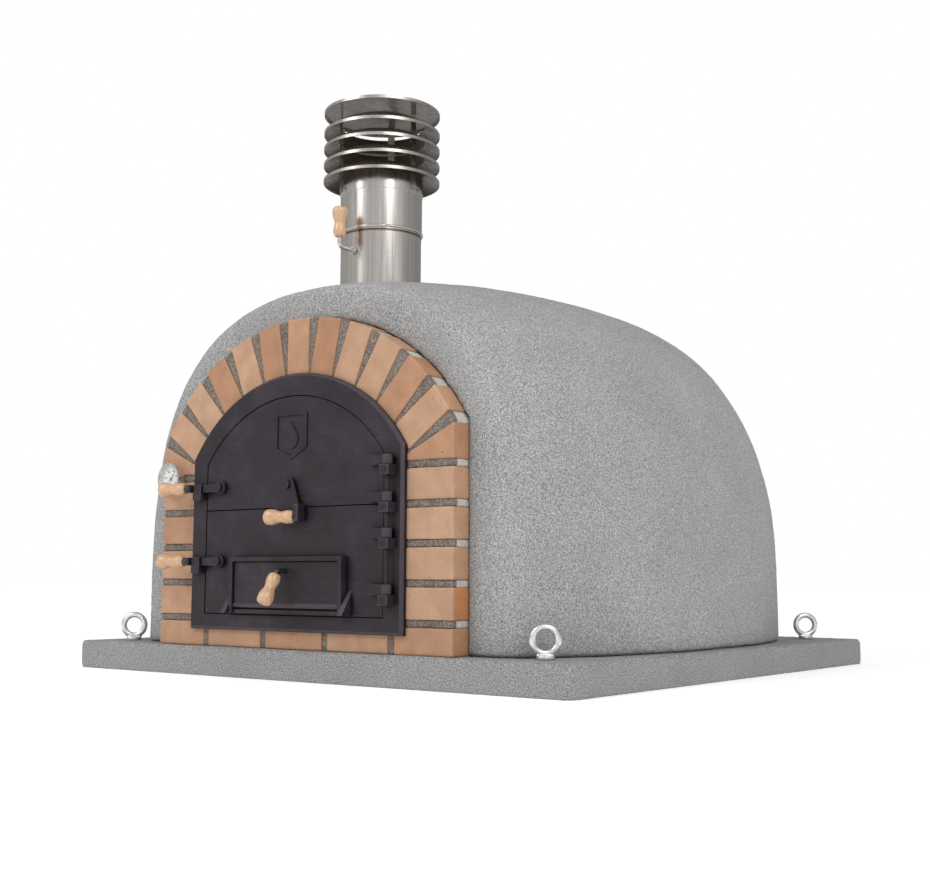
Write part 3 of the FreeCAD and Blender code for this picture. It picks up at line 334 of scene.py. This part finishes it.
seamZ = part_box("flue_upper_pipe")[0].z
finishes = {
    "concrete": renderCoat("slabConcrete", 0.86),
    "render": renderCoat("domeRender"),
    "brick": brickClay("brickClay"),
    "mortar": mortarBed("mortarBed"),
    "cast_iron": castIron("castIron"),
    "stainless": stainlessSheet("stainlessSheet", seamZ),
    "zinc_steel": brightSteel("zincSteel", (0.62, 0.62, 0.61), (0.86, 0.86, 0.85), 0.30),
    "bright_steel": brightSteel("brightSteel", (0.42, 0.41, 0.40), (0.66, 0.65, 0.63), 0.28),
    "dark_steel": enamel("blackSteel", (0.014, 0.013, 0.014), (0.03, 0.028, 0.03), 0.38),
    "turned_wood": turnedWood("turnedWood"),
    "chrome": brightSteel("polishedChrome", (0.70, 0.71, 0.72), (0.82, 0.83, 0.84), 0.14, 90.0),
    "gauge_glass": clearGlass("gaugeGlass"),
    "dial": enamel("dialEnamel", (0.80, 0.80, 0.78), (0.88, 0.88, 0.86), 0.4),
    "needle_black": enamel("needleBlack", (0.012, 0.012, 0.013), (0.022, 0.021, 0.021), 0.4),
    "firebrick": stoneLike("hearthTile", (0.50, 0.36, 0.22), (0.66, 0.52, 0.36), 60.0, 0.88, 0.35),
    "refractory": stoneLike("refractoryCast", (0.34, 0.29, 0.23), (0.50, 0.44, 0.36), 90.0, 0.92, 0.75),
    "insulation_board": stoneLike("insulationBoard", (0.55, 0.50, 0.41), (0.68, 0.63, 0.54), 140.0),
    "ceramic_blanket": stoneLike("ceramicBlanket", (0.74, 0.73, 0.70), (0.88, 0.87, 0.84), 200.0),
}
cowlFinish = cowlSheet("cowlSheet")
print("finishes ready:", len(finishes))


# mesh helpers

def cadMesh(node):
    work = bmesh.new()
    work.from_mesh(cadNodes[node].data)
    bmesh.ops.remove_doubles(work, verts=work.verts, dist=1e-6)
    return work


def islandsOf(work):
    seen = set()
    islands = []
    for start in work.faces:
        if start.index in seen:
            continue
        stack, island = [start], []
        seen.add(start.index)
        while stack:
            face = stack.pop()
            island.append(face)
            for edge in face.edges:
                for other in edge.link_faces:
                    if other.index not in seen:
                        seen.add(other.index)
                        stack.append(other)
        islands.append(island)
    return islands


def meshOfFaces(name, faces):
    spots = {}
    for face in faces:
        for vert in face.verts:
            spots.setdefault(vert.index, (len(spots), vert.co.copy()))
    mesh = bpy.data.meshes.new(name)
    mesh.from_pydata([co for _, co in spots.values()], [],
                     [[spots[vert.index][0] for vert in face.verts] for face in faces])
    return mesh


def place(name, mesh):
    piece = bpy.data.objects.new(name, mesh)
    bpy.context.scene.collection.objects.link(piece)
    return piece


def applied(piece):
    graph = bpy.context.evaluated_depsgraph_get()
    mesh = bpy.data.meshes.new_from_object(piece.evaluated_get(graph))
    old = piece.data
    piece.modifiers.clear()
    piece.data = mesh
    bpy.data.meshes.remove(old)
    return piece


def finishPiece(piece, node, material=None):
    piece.data.materials.clear()
    piece.data.materials.append(material or finishes[slotOf[node]])
    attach(piece, bodyOf[node])
    return piece


cloudTextures = {}


def clouds(size, depth=2):
    key = (size, depth)
    if key not in cloudTextures:
        texture = bpy.data.textures.new("clouds" + str(len(cloudTextures)), "CLOUDS")
        texture.noise_scale = size
        texture.noise_depth = depth
        cloudTextures[key] = texture
    return cloudTextures[key]


def addWaviness(piece, size, amount):
    displace = piece.modifiers.new("waviness", "DISPLACE")
    displace.texture = clouds(size)
    displace.strength = amount
    displace.mid_level = 0.5
    displace.texture_coords = "LOCAL"


# masonry: the dome's render, the slab, the bricks and their joints

def roughened(piece, voxel, waves, smoothing=0):
    remesh = piece.modifiers.new("cells", "REMESH")
    remesh.mode = "VOXEL"
    remesh.voxel_size = voxel
    if smoothing:
        relax = piece.modifiers.new("relax", "SMOOTH")
        relax.iterations = smoothing
    for size, amount in waves:
        addWaviness(piece, size, amount)
    applied(piece)
    piece.data.shade_smooth()
    return piece


def rebuilt(node, voxel, waves, smoothing=0, material=None):
    work = cadMesh(node)
    mesh = bpy.data.meshes.new(node)
    work.to_mesh(mesh)
    work.free()
    piece = roughened(place(node + "_made", mesh), voxel, waves, smoothing)
    finishPiece(piece, node, material)
    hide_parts(node)
    return piece


domeWork = {"voxel": 0.006, "waves": ((0.16, 0.0030), (0.012, 0.0016)), "smoothing": 3}
slabWork = {"voxel": 0.006, "waves": ((0.20, 0.0012), (0.012, 0.0014)), "smoothing": 2}
rebuilt("dome_shell", domeWork["voxel"], domeWork["waves"], domeWork["smoothing"])
rebuilt("base_slab", slabWork["voxel"], slabWork["waves"], slabWork["smoothing"])
print("dome and slab rendered")

brickWork = {"voxel": 0.0025, "waves": ((0.05, 0.0010), (0.009, 0.0006)), "smoothing": 2,
             "flankFrom": 0.004, "flankFade": 0.002, "orangeFlank": 0.85, "plainFlank": 0.12}


# how much each point is a side surface: nothing down to start metres behind the front,
# then up to strength over the fade
def markFlank(mesh, strength, start):
    front = min(vert.co.y for vert in mesh.vertices)
    fade = brickWork["flankFade"]
    flank = mesh.attributes.new("flank", "FLOAT", "POINT")
    flank.data.foreach_set("value", [strength * min(max((vert.co.y - front - start) / fade, 0), 1)
                                     for vert in mesh.vertices])


def placeOf(faces):
    middle = sum((face.calc_center_median() for face in faces), Vector()) / len(faces)
    return (round(middle.x, 3), round(middle.z, 3))


def brickCourse(node, tones, orangeFlanks=()):
    work = cadMesh(node)
    islands = islandsOf(work)
    islands.sort(key=placeOf)
    bricks = []
    for index, faces in enumerate(islands):
        brick = roughened(place(node + "_brick", meshOfFaces(node, faces)), brickWork["voxel"],
                          brickWork["waves"], brickWork["smoothing"])
        count = len(brick.data.vertices)
        tone = brick.data.attributes.new("tone", "FLOAT", "POINT")
        tone.data.foreach_set("value", [tones[index % len(tones)]] * count)
        strength = brickWork["orangeFlank"] if index in orangeFlanks else brickWork["plainFlank"]
        markFlank(brick.data, strength, brickWork["flankFrom"])
        bricks.append(brick)
    work.free()
    with bpy.context.temp_override(active_object=bricks[0], selected_editable_objects=bricks):
        bpy.ops.object.join()
    course = bricks[0]
    course.name = node + "_made"
    finishPiece(course, node)
    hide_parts(node)
    return course


# left to right, low before high; a course with more bricks than tones starts its list again
archTones = (0.55, 0.30, 0.20, 0.75, 0.25, 0.80, 0.65, 0.85, 0.35, 0.30, 0.75, 0.35, 0.70)
jambTones = (0.45, 0.25, 0.60, 0.35, 0.30, 0.20, 0.15, 0.25)
sillTones = (0.55, 0.45, 0.60, 0.50, 0.65)
brickCourse("arch_bricks", archTones)
brickCourse("jamb_bricks", jambTones, (4,))
brickCourse("sill_bricks", sillTones)
jointWork = {"voxel": 0.0026, "waves": ((0.03, 0.0012), (0.006, 0.0022)), "smoothing": 1, "limeFrom": 0.012}
joints = rebuilt("mortar", jointWork["voxel"], jointWork["waves"], jointWork["smoothing"])
markFlank(joints.data, 1.0, jointWork["limeFrom"])
print("bricks laid")


# ironwork: every casting keeps its shape and gets eased edges

castWork = {"edge": 0.0009, "leafEdge": 0.0017, "fineEdge": 0.0006, "segments": 2, "crease": 32.0,
            "flatWithin": 0.6, "alongAxis": 0.9999}


def softened(node, edge=None, material=None):
    work = cadMesh(node)
    flatAngle = math.radians(castWork["flatWithin"])
    bmesh.ops.dissolve_limit(work, angle_limit=flatAngle, verts=work.verts, edges=work.edges)
    mesh = bpy.data.meshes.new(node)
    work.to_mesh(mesh)
    work.free()
    piece = place(node + "_made", mesh)
    bevel = piece.modifiers.new("edges", "BEVEL")
    bevel.width = edge or castWork["edge"]
    bevel.segments = castWork["segments"]
    bevel.limit_method = "ANGLE"
    bevel.angle_limit = math.radians(castWork["crease"])
    bevel.use_clamp_overlap = True
    applied(piece)
    # faces square to an axis stay flat, and the rest, eased edges among them, are smooth and get a little
    # painted highlight
    faces = piece.data.polygons
    eased = [max(abs(part) for part in face.normal) < castWork["alongAxis"] for face in faces]
    faces.foreach_set("use_smooth", eased)
    wearAndHighlightShare = piece.data.attributes.new("eased", "FLOAT", "FACE")
    wearAndHighlightShare.data.foreach_set("value", [float(flag) for flag in eased])
    finishPiece(piece, node, material)
    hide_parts(node)
    return piece


# painted shade in the gap round the leaves: every face behind the iron's front, out to the given bounds, is
# painted near black
seamWork = {"behind": 0.0002, "half": 0.245, "low": 0.10, "centre": 0.242, "radius": 0.295,
            "frameProud": 0.012, "leafBack": 0.001}


def markSeamShade(mesh, front):
    values = []
    for polygon in mesh.polygons:
        x, y, z = polygon.center
        inside = abs(x) < seamWork["half"] and z > seamWork["low"]
        inside = inside and math.hypot(x, z - seamWork["centre"]) < seamWork["radius"]
        values.append(1.0 if inside and y > front + seamWork["behind"] else 0.0)
    mesh.attributes.new("seamShade", "FLOAT", "FACE").data.foreach_set("value", values)


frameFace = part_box("arch_bricks")[0].y - seamWork["frameProud"]
leafBack = seamWork["leafBack"]
for node, behind in (("door_frame", 0.0), ("upper_door", leafBack), ("lower_door", leafBack)):
    markSeamShade(softened(node, castWork["leafEdge"]).data, frameFace + behind)
for node in ("latch_catches", "upper_latch_lever", "lower_latch_lever", "tie_plate", "flap_rim",
             "draught_flap"):
    softened(node)
for node in ("upper_latch_ferrule", "lower_latch_ferrule", "flap_handle_stub", "upper_latch_bolt",
             "lower_latch_bolt", "tie_plate_bolt"):
    finish = finishes["cast_iron" if "bolt" in node else "dark_steel"]
    softened(node, castWork["fineEdge"], finish)
print("ironwork eased")


# handles, eyes and other rounded pieces

turnedWork = {"voxel": 0.0011, "smoothing": 6}
eyeWork = {"voxel": 0.0013, "smoothing": 5}


def turnedPiece(node, voxel, smoothing):
    piece = rebuilt(node, voxel, (), smoothing)
    points = [vert.co for vert in piece.data.vertices]
    centre = sum(points, Vector()) / len(points)
    far = max(points, key=lambda point: (point - centre).length)
    along = (far - centre).normalized()
    across = along.orthogonal().normalized()
    third = along.cross(across)
    grain = piece.data.attributes.new("grainPlace", "FLOAT_VECTOR", "POINT")
    flat = []
    for point in points:
        offset = point - centre
        flat += [offset.dot(across), offset.dot(third), offset.dot(along)]
    grain.data.foreach_set("vector", flat)
    return piece


for node in cadNodes:
    if slotOf[node] == "turned_wood":
        turnedPiece(node, turnedWork["voxel"], turnedWork["smoothing"])
rebuilt("lifting_eyes", eyeWork["voxel"], (), eyeWork["smoothing"])
print("handles and eyes turned")

for node, piece in cadNodes.items():
    if piece.hide_render:
        continue
    material = finishes[slotOf[node]]
    if node.startswith("cowl_") and node != "cowl_collar":
        material = cowlFinish
    if node == "hinge_pin":
        material = finishes["cast_iron"]
    piece.data.materials.clear()
    piece.data.materials.append(material)
    with bpy.context.temp_override(object=piece, active_object=piece, selected_editable_objects=[piece]):
        bpy.ops.object.shade_smooth_by_angle(angle=math.radians(castWork["crease"]))


# thermometer scale

# tickOuter to numberReach are shares of the dial's radius; gap, relief and ink are metres
dialWork = {"firstAngle": -130, "lastAngle": 130, "ticks": 27, "numberEvery": 5, "step": 100,
            "tickOuter": 0.90, "tickLong": 0.76, "tickShort": 0.83, "tickWide": 0.018, "tickFine": 0.010,
            "numberSize": 0.20, "numberReach": 0.60, "gap": 0.0002, "relief": 0.0003, "ink": 0.0001}


def dialMarks():
    low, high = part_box("thermometer_dial")
    centre = (low + high) / 2
    front = low.y - dialWork["gap"]
    radius = (high.x - low.x) / 2
    work = bmesh.new()
    span = dialWork["lastAngle"] - dialWork["firstAngle"]
    for step in range(dialWork["ticks"]):
        angle = math.radians(dialWork["firstAngle"] + span * step / (dialWork["ticks"] - 1))
        long = step % dialWork["numberEvery"] == 0
        inner = radius * (dialWork["tickLong"] if long else dialWork["tickShort"])
        outer = radius * dialWork["tickOuter"]
        half = radius * (dialWork["tickWide"] if long else dialWork["tickFine"])
        direction = Vector((math.sin(angle), 0, math.cos(angle)))
        side = Vector((math.cos(angle), 0, -math.sin(angle)))
        corners = []
        for depth in (0.0, dialWork["relief"]):
            for reach, sign in ((inner, -1), (inner, 1), (outer, 1), (outer, -1)):
                spot = Vector((centre.x, front - depth, centre.z)) + direction * reach + side * half * sign
                corners.append(work.verts.new(spot))
        near, far = corners[:4], corners[4:]
        work.faces.new(near)
        work.faces.new(far[::-1])
        for index in range(4):
            after = (index + 1) % 4
            work.faces.new((near[after], near[index], far[index], far[after]))
    bmesh.ops.recalc_face_normals(work, faces=work.faces)
    mesh = bpy.data.meshes.new("dialMarks")
    work.to_mesh(mesh)
    work.free()
    marks = place("dial_marks", mesh)
    marks.data.materials.append(finishes["needle_black"])
    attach(marks, "oven")
    for step in range(0, dialWork["ticks"], dialWork["numberEvery"]):
        angle = math.radians(dialWork["firstAngle"] + span * step / (dialWork["ticks"] - 1))
        text = bpy.data.curves.new("dialNumber", "FONT")
        text.body = str(dialWork["step"] * step // dialWork["numberEvery"])
        text.size = radius * dialWork["numberSize"]
        text.extrude = dialWork["ink"]
        text.align_x = "CENTER"
        text.align_y = "CENTER"
        number = place("dial_number_" + text.body, text)
        reach = radius * dialWork["numberReach"]
        number.rotation_euler = (math.pi / 2, 0, 0)
        number.location = (centre.x + reach * math.sin(angle), front - dialWork["ink"],
                           centre.z + reach * math.cos(angle))
        text.materials.append(finishes["needle_black"])
        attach(number, "oven")


dialMarks()
print("thermometer scale drawn")


# studio: floor, soft lights, camera

# bands are the sky's brightness in polished metal, by direction from -X round through -Y
studio = {"bands": ((0.0, 0.45), (0.10, 0.55), (0.17, 0.50), (0.195, 1.30), (0.215, 0.60), (0.36, 0.66),
                    (0.41, 0.56), (0.43, 0.28), (0.455, 0.34), (0.48, 0.80), (0.52, 0.72), (0.56, 0.42),
                    (0.70, 0.34), (0.85, 0.28), (1.0, 0.45)),
          "floor": 60.0, "floorTone": (0.93, 0.93, 0.925), "toneStep": 0.01, "sky": 0.70, "aim": (0, 0, 0.4),
          "floorGlow": 0.22, "farGlow": 0.48, "glowFrom": 2.0, "glowTo": 9.0,
          "key": {"spot": (-1.6, -4.2, 3.6), "size": 2.6, "power": 86.0},
          "fill": {"spot": (3.4, -1.9, 3.4), "size": 3.0, "power": 80.0}}


def layFloor():
    mesh = bpy.data.meshes.new("studioFloor")
    half = studio["floor"] / 2
    corners = [(-half, -half, 0), (half, -half, 0), (half, half, 0), (-half, half, 0)]
    mesh.from_pydata(corners, [], [(0, 1, 2, 3)])
    floor = place("studio_floor", mesh)
    material, tree, shader = startMaterial("studioFloor", 0.9, Specular_IOR_Level=0.1)
    cloud = noiseOf(tree, objectPlace(tree), 0.7, 2.0)
    tone = studio["floorTone"]
    lighter = [min(1, value + studio["toneStep"]) for value in tone]
    setInputs(tree, shader, Base_Color=rampOf(tree, cloud, [(0.3, tone), (0.7, lighter)]))
    shader.inputs["Emission Color"].default_value = (1, 1, 1, 1)
    # the floor glows more far from the object, so that it meets the sky without a line
    reach = addNode(tree, "VectorMath", {0: objectPlace(tree)}, operation="LENGTH").outputs["Value"]
    glow = addNode(tree, "MapRange", {"Value": reach,
                                      "From Min": studio["glowFrom"], "From Max": studio["glowTo"],
                                      "To Min": studio["floorGlow"], "To Max": studio["farGlow"]}).outputs[0]
    tree.links.new(glow, shader.inputs["Emission Strength"])
    mesh.materials.append(material)


def hangLight(name, settings):
    lamp = bpy.data.lights.new(name, "AREA")
    lamp.shape = "DISK"
    lamp.size = settings["size"]
    lamp.energy = settings["power"]
    light = place(name, lamp)
    light.location = settings["spot"]
    aim = Vector(studio["aim"]) - light.location
    light.rotation_euler = aim.to_track_quat("-Z", "Y").to_euler()


def paintSky():
    world = bpy.data.worlds.new("studioSky")
    bpy.context.scene.world = world
    world.use_nodes = True
    tree = world.node_tree
    tree.nodes.clear()
    direction = addNode(tree, "TexCoord").outputs["Generated"]
    split = addNode(tree, "SeparateXYZ", {"Vector": direction})
    turn = addNode(tree, "Math", {0: split.outputs["Y"], 1: split.outputs["X"]},
                   operation="ARCTAN2").outputs[0]
    share = addNode(tree, "MapRange", {"Value": turn, "From Min": -math.pi, "From Max": math.pi}).outputs[0]
    bands = rampOf(tree, share, [(spot, (light,) * 3) for spot, light in studio["bands"]])
    soft = addNode(tree, "Background", {"Color": (1, 1, 1, 1), "Strength": studio["sky"]}).outputs[0]
    banded = addNode(tree, "Background", {"Color": bands, "Strength": 1.0}).outputs[0]
    white = addNode(tree, "Background", {"Color": (1, 1, 1, 1), "Strength": 1.0}).outputs[0]
    path = addNode(tree, "LightPath")
    shiny = addNode(tree, "MixShader", {0: path.outputs["Is Glossy Ray"], 1: soft, 2: banded}).outputs[0]
    seen = addNode(tree, "MixShader", {0: path.outputs["Is Camera Ray"], 1: shiny, 2: white}).outputs[0]
    output = addNode(tree, "OutputWorld")
    tree.links.new(seen, output.inputs["Surface"])


cameraSet = {"spot": (1.686, -2.288, 0.180), "turn": 37.36, "tip": 6.01, "roll": 0.26,
             "lens": 50.63, "sensor": 36.0, "farthest": 100.0}


def standCamera():
    data = bpy.data.cameras.new("camera")
    data.sensor_width = cameraSet["sensor"]
    data.lens = cameraSet["lens"]
    data.clip_end = cameraSet["farthest"]
    camera = place("camera", data)
    turn = Matrix.Rotation(math.radians(cameraSet["turn"]), 4, "Z")
    tip = Matrix.Rotation(math.radians(90 + cameraSet["tip"]), 4, "X")
    roll = Matrix.Rotation(math.radians(cameraSet["roll"]), 4, "Z")
    camera.matrix_world = Matrix.Translation(cameraSet["spot"]) @ turn @ tip @ roll
    bpy.context.scene.camera = camera


layFloor()
hangLight("keyLight", studio["key"])
hangLight("fillLight", studio["fill"])
paintSky()
standCamera()
bpy.context.scene.view_settings.view_transform = "Standard"
print("studio set")
